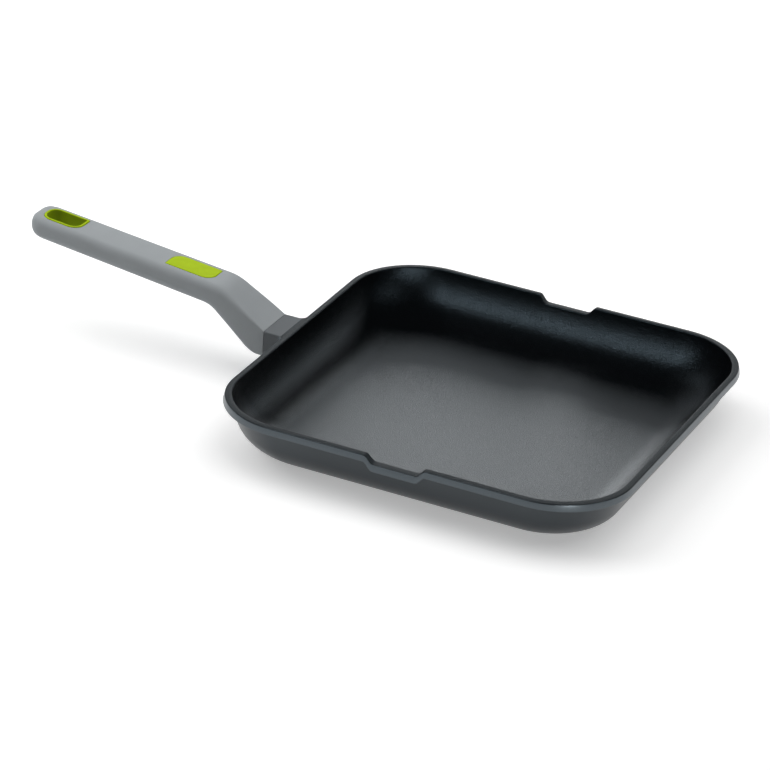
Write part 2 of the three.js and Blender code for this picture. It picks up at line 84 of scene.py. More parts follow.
COATING, STUD, BOSS, BAND_PAINTED_LIGHT, RIM = range(1, 6)  # the casting's materials after its lacquer, in their order
# The liner's second material is a darker lime, painted shade in its bore.
PAINTED_SHADE_BORE = 1  # the liner's second material
MIX_FACTOR, MIX_A, MIX_B, MIX_RESULT = 0, 6, 7, 2  # the colour sockets of a mix node
ROOM_LIGHT = 0.05  # the room's strength for matt finishes
ROOM_MIRRORED = 0.01  # the room's strength in mirroring finishes
FLOOR_SIZE = 12  # in metres
FLOOR_DROP = 0.4 * MM  # keeps the floor out of the base's plane
SENSOR_WIDTH = 36  # in mm
CAMERA_REACH = 50  # in metres


def linear(code):
    """An sRGB hex colour as linear red, green and blue."""
    shares = [int(code[i:i + 2], 16) / 255 for i in (1, 3, 5)]
    return tuple(s / 12.92 if s <= 0.04045 else ((s + 0.055) / 1.055) ** 2.4 for s in shares)


def length(name, description, default):
    """A length that a user can set, in metres."""
    return bpy.props.FloatProperty(
        name=name, description=description, default=default, precision=5, unit="LENGTH", subtype="DISTANCE")


def angle(name, description, degrees):
    """An angle that a user can set."""
    return bpy.props.FloatProperty(
        name=name, description=description, default=math.radians(degrees), unit="ROTATION", subtype="ANGLE")


def colour(name, description, code):
    """A colour that a user can set."""
    return bpy.props.FloatVectorProperty(
        name=name, description=description, default=linear(code), size=3, min=0, max=1, subtype="COLOR")


# Settings


class PanSettings(bpy.types.PropertyGroup):
    """Sizes of the cast pan, from the frame where the frame gives them."""
    half: length("Half width", "From the middle to the rim band's outside", PAN_HIGH.x)
    height: length("Height", "From the base's underside to the rim's top", PAN_HIGH.z)
    rim_corner: length("Rim corner", "Radius of the rim's corners from above", 52 * MM)
    base_corner: length("Base corner", "Radius of the base's corners from above", 32.5 * MM)
    taper: angle("Wall taper", "Lean of the outer wall from upright", 20.5)
    wall: length("Wall", "Thickness of the wall below the rim", 3 * MM)
    floor: length("Floor", "Thickness of the floor", 5 * MM)
    base_curve: length("Base curve", "Radius from the wall to the base", 28 * MM)
    inner_lean: angle("Inner lean", "Lean of the bowed inner wall below the rim", 11.2)
    cove_lean: angle("Cove lean", "Lean where the bowed inner wall meets the cove", 33)
    cove: length("Cove", "Radius from the bowed wall to the cooking floor", 30 * MM)
    band_height: length("Band height", "Height of the rim band", 5.7 * MM)
    band_depth: length("Band depth", "How far the rim band stands out", 3.6 * MM)
    band_inset: length("Band inset", "The band face's top edge behind its bottom edge", 0.7 * MM)
    band_edge: length("Band edge", "Eased edges of the band's face", 0.7 * MM)
    band_undercut: length("Band undercut", "How far the band's underside rises outwards", 0.4 * MM)
    rim_fall: length("Rim fall", "How far the rim's top falls outwards", 0.4 * MM)
    rim_bevel: length("Rim bevel", "Bevel on the rim's inner edge", 1.3 * MM)
    notch_floor: length("Notch floor", "Level bottom of a pouring notch", 27 * MM)
    notch_ramp: length("Notch ramp", "Slope at each end of a notch", 7.5 * MM)
    notch_depth: length("Notch depth", "Depth of a pouring notch", 5.4 * MM)
    notch_ease: bpy.props.FloatProperty(
        name="Notch ease", default=1.4,
        description="Above 1, the foot of a notch's slope is rounder than its top")
    plate_corner: length("Plate corner", "Radius of the base plate's corners", 24 * MM)
    hole_radius: length("Hole radius", "Radius of the base plate's holes", 5 * MM)
    hole_pitch: length("Hole pitch", "Distance between the base plate's holes", 30 * MM)
    hole_rows: bpy.props.IntProperty(
        name="Hole rows", description="Rows of holes each way", default=6, min=1)
    gap: length("Fit gap", "Clearance between pieces that seat on each other", 0.3 * MM)


class HandleSettings(bpy.types.PropertyGroup):
    """Sizes of the handle and joint, measured out from the joint and up from the rim's top."""
    joint_width: length("Joint width", "Width of the boss and of the handle's face", 32 * MM)
    joint_height: length("Joint height", "Height of the boss and of the handle's face", 20.5 * MM)
    joint_drop: length("Joint drop", "Joint's top below the rim's top", 1.2 * MM)
    joint_top_edge: length("Joint top edge", "Radius of the joint's top edges", 1 * MM)
    joint_bottom_edge: length("Joint bottom edge", "Radius of the joint's bottom edges", 6.5 * MM)
    boss_fillet: length("Boss fillet", "Where the boss meets the rim band", 5 * MM)
    spigot_width: length("Spigot width", "Width of the boss's spigot", 18 * MM)
    spigot_height: length("Spigot height", "Height of the boss's spigot", 10 * MM)
    top_bend_run: length("Top bend run", "Joint to the bend of the top line", 34.4 * MM)
    top_bend_rise: length("Top bend rise", "Rim top to the bend of the top line", 20.8 * MM)
    top_bend_round: length("Top bend round", "Half the length of that bend", 6 * MM)
    tip_top_rise: length("Tip top rise", "Rim top to the top line at the tip", 37 * MM)
    heel_run: length("Heel run", "Joint to the heel of the lower line", 10 * MM)
    heel_round: length("Heel round", "Half the length of the heel", 5 * MM)
    lower_bend_run: length("Lower bend run", "Joint to the bend of the lower line", 42.7 * MM)
    lower_bend_rise: length("Lower bend rise", "Rim top to the bend of the lower line", 4.6 * MM)
    lower_bend_round: length("Lower bend round", "Half the length of that bend", 5 * MM)
    tip_lower_rise: length("Tip lower rise", "Rim top to the lower line at the tip", 21.9 * MM)
    grip_width: length("Grip width", "Width of the grip", 30 * MM)
    grip_top_edge: length("Grip top edge", "Radius of the grip's top edges", 5.5 * MM)
    grip_bottom_edge: length("Grip bottom edge", "Radius of the grip's bottom edges", 8 * MM)
    tip_radius: length("Tip radius", "Radius of the tip from above", 12 * MM)
    tip_edge: length("Tip edge", "Radius of the tip from the side", 6 * MM)
    liner_from_tip: length("Liner from tip", "Tip to the hanging hole's middle", 22.5 * MM)
    liner_length: length("Liner length", "Length of the hanging hole's liner", 29 * MM)
    liner_width: length("Liner width", "Width of the liner", 18 * MM)
    liner_wall: length("Liner wall", "Thickness of the liner", 1.8 * MM)
    liner_lip: length("Liner lip", "How far the liner's lip stands above the grip", 0.7 * MM)
    liner_short: length("Liner short", "How far the liner ends above the grip's underside", 0.5 * MM)
    badge_from_joint: length("Badge from joint", "Joint to the badge's middle", 61.6 * MM)
    badge_length: length("Badge length", "Length of the badge", 35 * MM)
    badge_width: length("Badge width", "Width of the badge", 17.2 * MM)
    badge_thickness: length("Badge thickness", "Thickness of the badge", 2 * MM)
    badge_rise: length("Badge rise", "How far the badge stands above the grip", 0.25 * MM)
    screw_radius: length("Screw radius", "Radius of the screw's shank", 2.5 * MM)
    seat_radius: length("Seat radius", "Radius of the counterbore under the neck", 5.6 * MM)


class FinishSettings(bpy.types.PropertyGroup):
    """Colours of the finishes."""
    lacquer: colour("Lacquer", "Baked lacquer outside the pan", "#171a1e")
    # The band's lighter tint is painted light, for the light that its face catches.
    band: colour("Band", "Burnished lacquer on the rim band", "#40474c")
    coating: colour("Coating", "Non-stick coating inside the pan", "#07080a")
    rim: colour("Rim coating", "Thin coating on top of the rim", "#2a2d2f")
    handle: colour("Handle", "Soft-touch paint on the handle", "#a5aaad")
    boss: colour("Boss", "Matt paint on the boss", "#6e7275")
    lime: colour("Lime", "Dyed plastic of the liner and the badge", "#b1cd0c")
    # The bore's darker lime is painted shade inside the hanging hole.
    bore: colour("Bore", "Duller plastic inside the liner", "#8ea30c")
    aluminium: colour("Aluminium", "Bare cast aluminium of the studs", "#b6b8ba")
    steel: colour("Steel", "Steel of the base plate", "#a9abad")
    zinc: colour("Zinc", "Zinc plate on the screw and washers", "#b9bcc0")


class StudioSettings(bpy.types.PropertyGroup):
    """Camera, floor and lamps."""
    azimuth: angle("Azimuth", "Camera's turn round the pan from the front", 23.72)
    elevation: angle("Elevation", "Camera's height as an angle", 26.69)
    roll: angle("Roll", "Camera's roll", 3.93)
    distance: length("Distance", "Camera to the middle of the rim", 2526.25 * MM)
    pan_right: length("Pan right", "How far the pan's middle lies right of the picture's", 65.64 * MM)
    pan_up: length("Pan up", "How far the pan's middle lies above the picture's", 5.08 * MM)
    lens: bpy.props.FloatProperty(
        name="Lens", default=181.78, unit="CAMERA",
        description="Focal length for a 36 mm wide sensor, in mm")
    floor_colour: colour("Floor", "Colour of the floor", "#f4f4f4")
    floor_glow: bpy.props.FloatProperty(
        name="Floor glow", description="Glow that brings the lit floor up to white", default=0.37, min=0)


# Modelling helpers


def start_piece(name):
    """A new empty mesh in edit mode, with nothing else selected."""
    bpy.ops.object.select_all(action="DESELECT")
    bpy.ops.mesh.primitive_plane_add(size=1)
    piece = bpy.context.object
    piece.name = name
    piece.data.name = name
    bpy.ops.object.mode_set(mode="EDIT")
    bpy.ops.mesh.select_mode(type="VERT")
    bpy.ops.mesh.select_all(action="SELECT")
    bpy.ops.mesh.delete(type="VERT")
    return piece


def outline_layer(mesh):
    """The layer that numbers each vertex's outline; a new vertex has 0."""
    return mesh.verts.layers.int.get("outline") or mesh.verts.layers.int.new("outline")


def select_only(piece, test):
    """Selects the vertices that pass a test of their outline's number and place, and what lies between."""
    mesh = bmesh.from_edit_mesh(piece.data)
    layer = outline_layer(mesh)
    for vertex in mesh.verts:
        vertex.select_set(test(vertex[layer], vertex.co))
    mesh.select_flush_mode()
    bmesh.update_edit_mesh(piece.data)


def number_outline(piece):
    """Numbers the new outline and returns its number."""
    mesh = bmesh.from_edit_mesh(piece.data)
    layer = outline_layer(mesh)
    number = max(vertex[layer] for vertex in mesh.verts) + 1
    for vertex in mesh.verts:
        if vertex[layer] == 0:
            vertex[layer] = number
    return number


def add_outline(piece, width, depth, radii, segments):
    """Adds a level rounded rectangle of loose edges at the origin, selected.

    The radii are for the corners in the order of CORNERS.
    """
    bpy.ops.mesh.select_all(action="DESELECT")
    bpy.ops.mesh.primitive_plane_add(size=1)
    bpy.ops.transform.resize(value=(width, depth, 1), center_override=(0, 0, 0))
    for radius in sorted(set(radii)):
        corners = [corner for corner, own in zip(CORNERS, radii) if own == radius]
        places = [Vector((x * width / 2, y * depth / 2, 0)) for x, y in corners]
        select_only(piece, lambda number, co: number == 0 and any(
            (co - place).length < TINY for place in places))
        bpy.ops.mesh.bevel(
            offset=radius, segments=segments, profile=0.5, affect="VERTICES", clamp_overlap=False)
    select_only(piece, lambda number, co: number == 0)
    bpy.ops.mesh.delete(type="ONLY_FACE")
    select_only(piece, lambda number, co: number == 0)


def end_piece(piece, outlines, ring=False):
    """Joins outlines one after the other into a closed piece, leaves edit mode and smooths the piece.

    The last outline of a ring meets its first, and any other piece gets a face at each end.
    """
    pairs = list(zip(outlines, outlines[1:]))
    if ring:
        pairs.append((outlines[-1], outlines[0]))
    for pair in pairs:
        select_only(piece, lambda number, co: number in pair)
        bpy.ops.mesh.bridge_edge_loops()
    if not ring:
        for end in (outlines[0], outlines[-1]):
            select_only(piece, lambda number, co: number == end)
            bpy.ops.mesh.edge_face_add()
    bpy.ops.mesh.select_all(action="SELECT")
    bpy.ops.mesh.normals_make_consistent(inside=False)
    mesh = bmesh.from_edit_mesh(piece.data)
    mesh.verts.layers.int.remove(outline_layer(mesh))
    bpy.ops.object.mode_set(mode="OBJECT")
    smooth(piece)


def activate(piece):
    """Makes a piece the active one, with nothing else selected."""
    bpy.ops.object.select_all(action="DESELECT")
    piece.select_set(True)
    bpy.context.view_layer.objects.active = piece


def smooth(piece):
    """Shades a piece smooth, apart from its sharp edges."""
    activate(piece)
    bpy.ops.object.shade_smooth_by_angle(angle=SMOOTH_ANGLE)


def settle(piece):
    """Puts a piece's place into its mesh."""
    activate(piece)
    bpy.ops.object.transform_apply(location=True, rotation=True, scale=True)


def cut(piece, tool, operation="DIFFERENCE"):
    """Cuts a piece with another, or joins them, and deletes the other."""
    activate(piece)
    modifier = piece.modifiers.new("cut", "BOOLEAN")
    modifier.operation = operation
    modifier.solver = "EXACT"
    modifier.object = tool
    bpy.ops.object.modifier_apply(modifier=modifier.name)
    bpy.data.objects.remove(tool)


def bar_along_x(radius, from_x, to_x, z):
    """A round bar along X."""
    bpy.ops.object.select_all(action="DESELECT")
    bpy.ops.mesh.primitive_cylinder_add(
        vertices=ROUND_SIDES, radius=radius, depth=abs(to_x - from_x),
        location=((from_x + to_x) / 2, 0, z), rotation=(0, math.pi / 2, 0))
    bar = bpy.context.object
    settle(bar)
    return bar


def block_along_x(from_x, to_x, width, height, z):
    """A block along X."""
    bpy.ops.object.select_all(action="DESELECT")
    bpy.ops.mesh.primitive_cube_add(size=1, location=((from_x + to_x) / 2, 0, z))
    block = bpy.context.object
    block.scale = (abs(to_x - from_x), width, height)
    settle(block)
    return block


def finish_piece(piece, node, slot, *materials):
    """Gives a piece its materials, and puts it in the frame in place of a node."""
    for material in materials:
        piece.data.materials.append(material)
    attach(piece, "root")
    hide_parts(node)


# Shape of the pan


def wall_x(pan, z):
    """How far from the middle the leaning outer wall is at a height."""
    return pan.half - pan.band_depth - (pan.height - pan.band_height - z) * math.tan(pan.taper)


def leaning_arc(middle_x, middle_z, radius, from_lean, to_lean):
    """Points on an arc below its middle, whose surface leans from upright, as distance and height."""
    points = []
    for i in range(CURVE_STEPS + 1):
        lean = from_lean + (to_lean - from_lean) * i / CURVE_STEPS
        points.append((middle_x + radius * math.cos(lean), middle_z - radius * math.sin(lean)))
    return points


def base_arc(pan):
    """Points of the arc from the flat base up to the outer wall."""
    touch = pan.base_curve * (1 - math.sin(pan.taper))
    middle = wall_x(pan, touch) - pan.base_curve * math.cos(pan.taper)
    return leaning_arc(middle, pan.base_curve, pan.base_curve, math.pi / 2, pan.taper)


def inner_top(pan):
    """Where the bowed inner wall begins, below the rim's bevel."""
    z = pan.height - pan.rim_bevel
    return wall_x(pan, z) - pan.wall / math.cos(pan.taper), z


def bow_circle(pan):
    """Middle and radius of the bowed inner wall's arc."""
    top_x, top_z = inner_top(pan)
    drop = top_z - pan.floor - pan.cove * (1 - math.sin(pan.cove_lean))
    radius = drop / (math.sin(pan.cove_lean) - math.sin(pan.inner_lean))
    return top_x - radius * math.cos(pan.inner_lean), top_z + radius * math.sin(pan.inner_lean), radius


def inner_arcs(pan):
    """Points of the bowed inner wall, and of the cove below it down to the cooking floor."""
    bow_x, bow_z, radius = bow_circle(pan)
    cove_x = bow_x + (radius - pan.cove) * math.cos(pan.cove_lean)
    bow = leaning_arc(bow_x, bow_z, radius, pan.inner_lean, pan.cove_lean)
    cove = leaning_arc(cove_x, pan.floor + pan.cove, pan.cove, pan.cove_lean, math.pi / 2)
    return bow, cove


def bowed_wall_x(pan, z):
    """How far from the middle the bowed inner wall is at a height."""
    bow_x, bow_z, radius = bow_circle(pan)
    return bow_x + math.sqrt(radius ** 2 - (bow_z - z) ** 2)


def corner_radius(pan, size):
    """The corners tighten evenly from the rim to the flat base."""
    base = base_arc(pan)[0][0]
    share = (pan.half - size) / (pan.half - base)
    return pan.rim_corner + (pan.base_corner - pan.rim_corner) * share


def eased(first, corner, last):
    """Points that round a corner off between two places."""
    points = []
    for i in range(EDGE_SEGMENTS // 2 + 1):
        on = i / (EDGE_SEGMENTS // 2)
        shares = ((1 - on) ** 2, 2 * on * (1 - on), on ** 2)
        weighed = list(zip(shares, (first, corner, last)))
        points.append(tuple(sum(share * place[axis] for share, place in weighed) for axis in (0, 1)))
    return points


def rim_profile(pan):
    """Points over the band from its root, and of the rim's bevel down to the top of the inner wall."""
    root_z = pan.height - pan.band_height
    under_z = root_z + pan.band_undercut
    face_x = pan.half - pan.band_inset
    top_z = pan.height - pan.rim_fall
    edge = pan.band_edge
    inner_x, inner_z = inner_top(pan)
    band = [(pan.half - pan.band_depth, root_z)]
    band += eased((pan.half - edge, under_z), (pan.half, under_z), (pan.half, under_z + edge))
    band += eased((face_x, top_z - edge), (face_x, top_z), (face_x - edge, top_z))
    bevel = eased((inner_x + pan.rim_bevel, pan.height), (inner_x, pan.height), (inner_x, inner_z))
    return band, bevel


def notch_share(pan, x):
    """How much of a notch's depth there is at a place along the side."""
    along = (abs(x) - pan.notch_floor / 2) / pan.notch_ramp
    return (1 + math.cos(math.pi * min(max(along, 0), 1) ** pan.notch_ease)) / 2


def add_square(piece, pan, size, z, radius=None, dip=0, on_wall=None):
    """Adds a rounded square of the pan at a height, which dips at the notches by a share of their depth.

    With a function of the wall, what dips also draws in, so that it stays on that wall.
    """
    radius = corner_radius(pan, size) if radius is None else radius
    add_outline(piece, 2 * size, 2 * size, [radius] * 4, CORNER_SEGMENTS)
    on_side = size - TINY
    for reach_x, cuts in ((size - radius + TINY, SIDE_CUTS), ((size - radius) / 2, NOTCH_CUTS)):
        select_only(
            piece, lambda number, co: number == 0 and abs(co.y) > on_side and abs(co.x) < reach_x)
        bpy.ops.mesh.subdivide(number_cuts=cuts)
    select_only(piece, lambda number, co: number == 0)
    bpy.ops.transform.translate(value=(0, 0, z))
    if dip:
        mesh = bmesh.from_edit_mesh(piece.data)
        layer = outline_layer(mesh)
        for vertex in mesh.verts:
            if vertex[layer] == 0 and abs(vertex.co.y) > on_side:
                fall = dip * pan.notch_depth * notch_share(pan, vertex.co.x)
                vertex.co.z -= fall
                if on_wall:
                    wall_z = min(z, inner_top(pan)[1])
                    draw_in = on_wall(pan, wall_z) - on_wall(pan, wall_z - fall)
                    vertex.co.y -= math.copysign(draw_in, vertex.co.y)
        bmesh.update_edit_mesh(piece.data)
    return number_outline(piece)


def pan_shell(pan):
    """The casting without its boss: recessed base, leaning wall, rim band, coved inside and floor."""
    piece = start_piece("pan_casting")
    recess = PLATE_HIGH.z + pan.gap
    plate_half = PLATE_HIGH.x + pan.gap
    plate_corner = pan.plate_corner + pan.gap
    bow, cove = inner_arcs(pan)
    bow_low, bow_high = bow[-1][1], bow[0][1]
    inset = 2 * MM
    outlines = [
        add_square(piece, pan, plate_half - inset, recess + STEP, plate_corner - inset),
        add_square(piece, pan, plate_half, recess, plate_corner),
        add_square(piece, pan, plate_half, STEP, plate_corner),
    ]
    outlines += [add_square(piece, pan, size, z) for size, z in base_arc(pan)]
    band, bevel = rim_profile(pan)
    outlines.append(add_square(piece, pan, *band[0], dip=1, on_wall=wall_x))
    outlines += [add_square(piece, pan, size, z, dip=1) for size, z in band[1:]]
    outlines += [add_square(piece, pan, size, z, dip=1, on_wall=bowed_wall_x) for size, z in bevel]
    for size, z in bow[1:]:
        dip = (z - bow_low) / (bow_high - bow_low)
        outlines.append(add_square(piece, pan, size, z, dip=dip, on_wall=bowed_wall_x))
    outlines += [add_square(piece, pan, size, z) for size, z in cove[1:]]
    outlines.append(add_square(piece, pan, cove[-1][0] - inset, pan.floor - STEP))
    end_piece(piece, outlines)
    return piece


def add_section(piece, width, low, high, bottom_edge, top_edge, x, lean=0):
    """Adds an upright outline across the handle at a place along X, which can lean like the pan's wall."""
    tall = (high - low) / math.cos(lean)
    room = min(width, tall) / EDGE_ROOM
    top = min(top_edge, room)
    bottom = min(bottom_edge, room)
    add_outline(piece, tall, width, [top, bottom, bottom, top], EDGE_SEGMENTS)
    bpy.ops.transform.rotate(value=math.pi / 2 + lean, orient_axis="Y", center_override=(0, 0, 0))
    bpy.ops.transform.translate(value=(x, 0, (low + high) / 2))
    return number_outline(piece)


def boss(pan, handle):
    """The boss widens in a fillet to meet the rim band and ends inside the leaning wall."""
    piece = start_piece("boss")
    high = pan.height - handle.joint_drop
    low = high - handle.joint_height
    lean = pan.taper
    middle = (low + high) / 2
    band = pan.half - (pan.height - middle) * math.tan(lean)
    root = pan.band_depth - pan.band_height * math.tan(lean) + pan.wall / math.cos(lean) / 2

    def section(spread, x, tilt):
        return add_section(piece, handle.joint_width + 2 * spread, low, high,
                           handle.joint_bottom_edge, handle.joint_top_edge, x, tilt)

    outlines = [section(handle.boss_fillet, -(band - root), lean)]
    for i in range(CURVE_STEPS + 1):
        turn = math.pi / 2 * i / CURVE_STEPS
        spread = handle.boss_fillet * (1 - math.sin(turn))
        outlines.append(section(spread, -(band + handle.boss_fillet * (1 - math.cos(turn))), lean))
    outlines.append(section(0, HANDLE_HIGH.x + pan.gap, 0))
    end_piece(piece, outlines)
    return piece


def hole_grid(pan, radius, low, high):
    """Upright round pegs on the base plate's grid, modelled once and copied."""
    bpy.ops.object.select_all(action="DESELECT")
    first = -(pan.hole_rows - 1) / 2 * pan.hole_pitch
    bpy.ops.mesh.primitive_cylinder_add(
        vertices=ROUND_SIDES // 2, radius=radius, depth=high - low,
        location=(first, first, (low + high) / 2))
    pegs = bpy.context.object
    settle(pegs)
    for offset in ((pan.hole_pitch, 0, 0), (0, pan.hole_pitch, 0)):
        row = pegs.modifiers.new("row", "ARRAY")
        row.count = pan.hole_rows
        row.use_relative_offset = False
        row.use_constant_offset = True
        row.constant_offset_displace = offset
        bpy.ops.object.modifier_apply(modifier=row.name)
    return pegs


# Materials


def add_node(tree, kind, links=None, **settings):
    """Adds a node with its settings, and links its sockets or sets their values."""
    made = tree.nodes.new(kind)
    for name, value in settings.items():
        setattr(made, name, value)
    for socket, value in (links or {}).items():
        if isinstance(value, bpy.types.NodeSocket):
            tree.links.new(value, made.inputs[socket])
        else:
            made.inputs[socket].default_value = value
    return made


def start_material(name):
    """An empty material and its node tree."""
    material = bpy.data.materials.new(name)
    material.use_nodes = True
    tree = material.node_tree
    tree.nodes.clear()
    return material, tree


def show(tree, shader):
    """Sends a shader to the material's output."""
    add_node(tree, "ShaderNodeOutputMaterial", {"Surface": shader.outputs[0]})


def per_mm(size):
    """The scale of a pattern whose features are that many millimetres across."""
    return 1 / (size * MM)


def shade(tint, share):
    """A colour made darker or lighter, with its alpha."""
    return (*(min(1, c * share) for c in tint), 1)


def mottled_material(name, tint, shares, grain, relief, surface, stretch=None):
    """A material whose colour and relief follow noise, in the piece's own millimetres.

    With the grain's noise, the tint runs between two shares of itself. The relief is a noise, a strength
    and a height. The surface holds the shader's other values.
    """
    material, tree = start_material(name)
    place = add_node(tree, "ShaderNodeTexCoord").outputs["Object"]
    if stretch:
        place = add_node(tree, "ShaderNodeMapping", {"Vector": place, "Scale": stretch}).outputs["Vector"]
    pattern = add_node(tree, "ShaderNodeTexNoise", {"Vector": place, **grain})
    dark, light = (shade(tint, share) for share in shares)
    base = add_node(tree, "ShaderNodeMix", {
        MIX_FACTOR: pattern.outputs["Fac"], MIX_A: dark, MIX_B: light}, data_type="RGBA")
    surface = {"Base Color": base.outputs[MIX_RESULT], **surface}
    if relief:
        noise, strength, height = relief
        if noise is not grain:
            pattern = add_node(tree, "ShaderNodeTexNoise", {"Vector": place, **noise})
        bump = add_node(tree, "ShaderNodeBump", {
            "Height": pattern.outputs["Fac"], "Strength": strength, "Distance": height})
        surface["Normal"] = bump.outputs["Normal"]
    show(tree, add_node(tree, "ShaderNodeBsdfPrincipled", surface))
    return material


def baked_lacquer(name, tint, gloss):
    """Baked silicone lacquer on cast aluminium: near black, with a glassy skin that mirrors softly.

    On the rim band it is glossier, and its lighter tint there is painted light, for the light that the band's
    face catches.
    """
    glint = {"Scale": per_mm(0.5), "Detail": 2}
    peel = {"Scale": per_mm(1.4), "Detail": 1}
    return mottled_material(name, tint, (0.6, 1.4), glint, (peel, 0.06, 0.1 * MM), {
        "Roughness": 0.32, "IOR": 1.5, "Specular IOR Level": gloss, "Specular Tint": (0.8, 0.92, 1, 1)})


def nonstick_coating(name, tint, roughness, sheen):
    """Sprayed non-stick coating: black and waxy, with grains that break up its bluish highlights.

    On the rim it is thin and dry, so it is greyer and duller there.
    """
    # The real grain is about 0.3 mm; at 0.7 mm it is coarse enough to show
    grain = {"Scale": per_mm(0.7), "Detail": 3, "Roughness": 0.6}
    return mottled_material(name, tint, (0.5, 1.5), grain, (grain, 1.0, 0.2 * MM), {
        "Roughness": roughness, "IOR": 1.5, "Specular IOR Level": sheen,
        "Specular Tint": (0.64, 0.85, 1, 1)})


def boss_paint(finish):
    """Heat-proof matt paint on the boss: an even mid grey with almost no gloss."""
    # The real grain is about 0.1 mm; it is drawn coarser so that it shows
    grain = {"Scale": per_mm(0.4), "Detail": 2}
    return mottled_material("matt_silicone_paint", finish.boss, (0.94, 1.06), grain, None, {
        "Roughness": 0.85, "IOR": 1.45, "Specular IOR Level": 0.1})


def soft_touch_paint(finish):
    """Soft-touch paint on moulded phenolic: matt and slightly velvety, with a very fine sprayed grain."""
    cloud = {"Scale": per_mm(18), "Detail": 2}
    # The real grain is about 0.1 mm; it is drawn coarser so that it shows
    grain = {"Scale": per_mm(0.35), "Detail": 2}
    relief = (grain, 0.12, 0.05 * MM)
    return mottled_material("soft_touch_paint", finish.handle, (0.94, 1.06), cloud, relief, {
        "Roughness": 0.72, "IOR": 1.45, "Specular IOR Level": 0.25})


def lime_plastic(name, tint):
    """Dyed nylon with a satin moulded skin: strong lime green with faint clouds of dye.

    The bore that the core of the mould leaves gets a darker tint, which is painted shade where little light
    gets into the hole.
    """
    cloud = {"Scale": per_mm(6), "Detail": 2}
    grain = {"Scale": per_mm(0.3), "Detail": 1}
    return mottled_material(name, tint, (0.92, 1.08), cloud, (grain, 0.05, 0.03 * MM), {
        "Roughness": 0.7, "IOR": 1.5, "Specular IOR Level": 0.12})


def bare_metal(name, tint, grain_mm, stretch, roughness):
    """Bare metal with the fine lines that grinding or plating leaves."""
    grain = {"Scale": per_mm(grain_mm), "Detail": 3}
    return mottled_material(name, tint, (0.75, 1.15), grain, (grain, 0.15, 0.03 * MM), {
        "Metallic": 1.0, "Roughness": roughness}, stretch)


# Shape of the handle


def turned(past, around):
    """How much a line has turned away past a corner that is rounded over a length."""
    if past <= -around:
        return 0
    if past >= around:
        return past
    return (past + around) ** 2 / (4 * around)


def grip_slope(handle):
    """How much the grip's top line rises along its run."""
    return (handle.tip_top_rise - handle.top_bend_rise) / (REACH - handle.top_bend_run)


def top_z(pan, handle, run):
    """Height of the handle's top line."""
    neck = (handle.top_bend_rise + handle.joint_drop) / handle.top_bend_run
    bend = (grip_slope(handle) - neck) * turned(run - handle.top_bend_run, handle.top_bend_round)
    return pan.height - handle.joint_drop + neck * run + bend


def bottom_z(pan, handle, run):
    """Height of the handle's lower line."""
    start = -handle.joint_drop - handle.joint_height
    neck = (handle.lower_bend_rise - start) / (handle.lower_bend_run - handle.heel_run)
    grip = (handle.tip_lower_rise - handle.lower_bend_rise) / (REACH - handle.lower_bend_run)
    heel = neck * turned(run - handle.heel_run, handle.heel_round)
    bend = (grip - neck) * turned(run - handle.lower_bend_run, handle.lower_bend_round)
    return pan.height + start + heel + bend


def section_runs(handle):
    """Where the handle gets a section: close on the neck, wide apart on the grip, closer at the tip."""
    neck_end = handle.lower_bend_run + handle.lower_bend_round
    tip_start = REACH - handle.tip_radius
    steps = math.ceil(neck_end / NECK_STEP)
    runs = [neck_end * i / steps for i in range(steps + 1)]
    runs += [neck_end + (tip_start - neck_end) * i / GRIP_SECTIONS for i in range(1, GRIP_SECTIONS + 1)]
    ends = 2 * EDGE_SEGMENTS
    runs += [tip_start + handle.tip_radius * math.sin(math.pi / 2 * i / ends) for i in range(1, ends + 1)]
    return runs


def rounded_off(left, radius):
    """How much an end that is rounded to a radius has drawn in at a distance from its tip."""
    inside = max(0, 1 - left / radius)
    return radius * (1 - math.sqrt(max(0, 1 - inside ** 2)))


def handle_shell(pan, handle):
    """The handle before it is cut: neck, bend, grip and tip."""
    piece = start_piece("handle")
    outlines = []
    for run in section_runs(handle):
        blend = min(run / handle.lower_bend_run, 1)
        blend = blend * blend * (3 - 2 * blend)
        left = max(0, REACH - run)
        width = handle.joint_width + (handle.grip_width - handle.joint_width) * blend
        edge = rounded_off(left, handle.tip_edge)
        outlines.append(add_section(
            piece, width - 2 * rounded_off(left, handle.tip_radius),
            bottom_z(pan, handle, run) + edge, top_z(pan, handle, run) - edge,
            handle.joint_bottom_edge + (handle.grip_bottom_edge - handle.joint_bottom_edge) * blend,
            handle.joint_top_edge + (handle.grip_top_edge - handle.joint_top_edge) * blend,
            HANDLE_HIGH.x - run))
    end_piece(piece, outlines)
    return piece


def on_grip(pan, handle, piece, run):
    """Lays a piece that was modelled at the origin on the grip's top line."""
    turn = Matrix.Rotation(math.atan(grip_slope(handle)), 4, "Y")
    place = Matrix.Translation((HANDLE_HIGH.x - run, 0, top_z(pan, handle, run)))
    piece.matrix_world = place @ turn
    settle(piece)


def leaf_piece(name, long, wide, radii, profile, ring=False):
    """A leaf-cornered piece whose profile gives how far its outline grows and its height, step by step."""
    piece = start_piece(name)
    outlines = []
    for grow, z in profile:
        grown = [max(radius + grow, LEAF_LEAST_RADIUS) for radius in radii]
        add_outline(piece, long + 2 * grow, wide + 2 * grow, grown, EDGE_SEGMENTS)
        bpy.ops.transform.translate(value=(0, 0, z))
        outlines.append(number_outline(piece))
    end_piece(piece, outlines, ring)
    return piece


def liner_run(handle):
    """Joint to the hanging hole's middle."""
    return REACH - handle.liner_from_tip


def liner_depth(pan, handle):
    """Thickness of the grip at the hanging hole, square to its top."""
    run = liner_run(handle)
    return (top_z(pan, handle, run) - bottom_z(pan, handle, run)) * math.cos(math.atan(grip_slope(handle)))


# Operators


